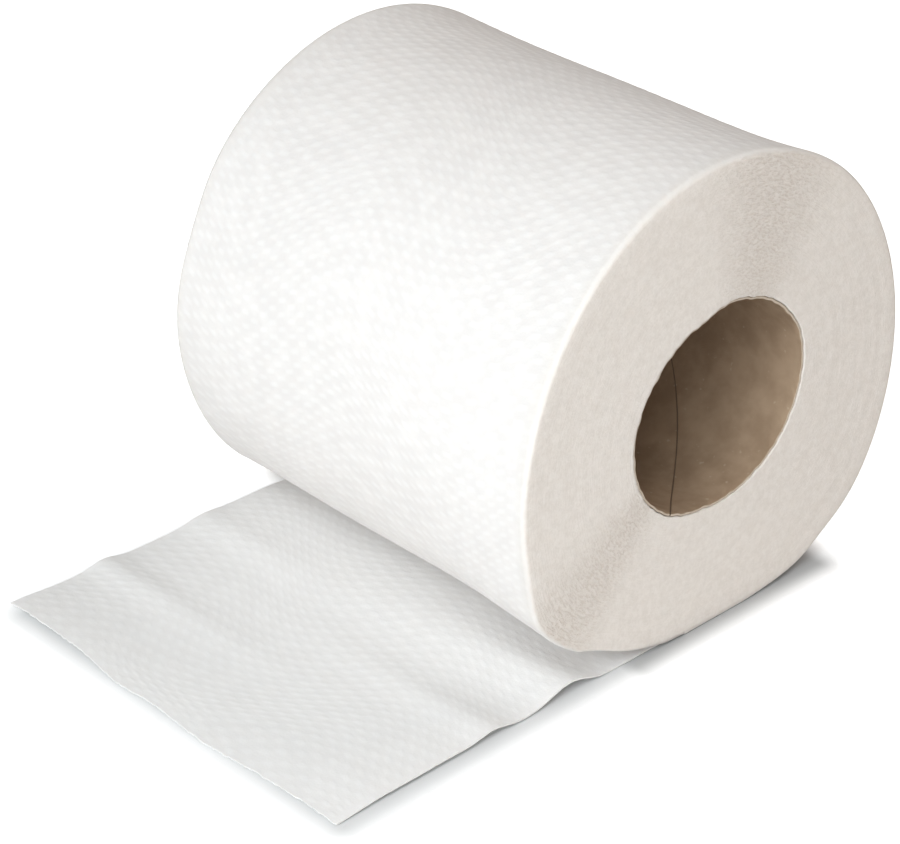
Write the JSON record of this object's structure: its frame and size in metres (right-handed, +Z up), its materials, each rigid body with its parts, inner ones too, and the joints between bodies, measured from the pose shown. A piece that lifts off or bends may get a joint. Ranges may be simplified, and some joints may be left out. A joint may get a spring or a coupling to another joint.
{
  "type": "toilet paper roll",
  "caption": "Soft roll of embossed tissue wound on a paperboard tube, lying on its side on a flat spot, with its first sheet pulled out along the floor.",
  "frame": {"origin": "on the resting flat spot, straight below the middle of the tube's axis", "axes": "+X along the roll towards the end seen in the picture, -Y towards the loose sheet's torn end, +Z up"},
  "size_m": [0.098, 0.1501, 0.0982],
  "materials": {
    "tissue_paper": "soft embossed tissue, matte, white with a warm cut end",
    "core_paperboard": "plain brown recycled board, matte"
  },
  "bodies": {
    "root": {"tissue_roll": "tissue_paper", "core_tube": "core_paperboard"}
  },
  "joints": []
}
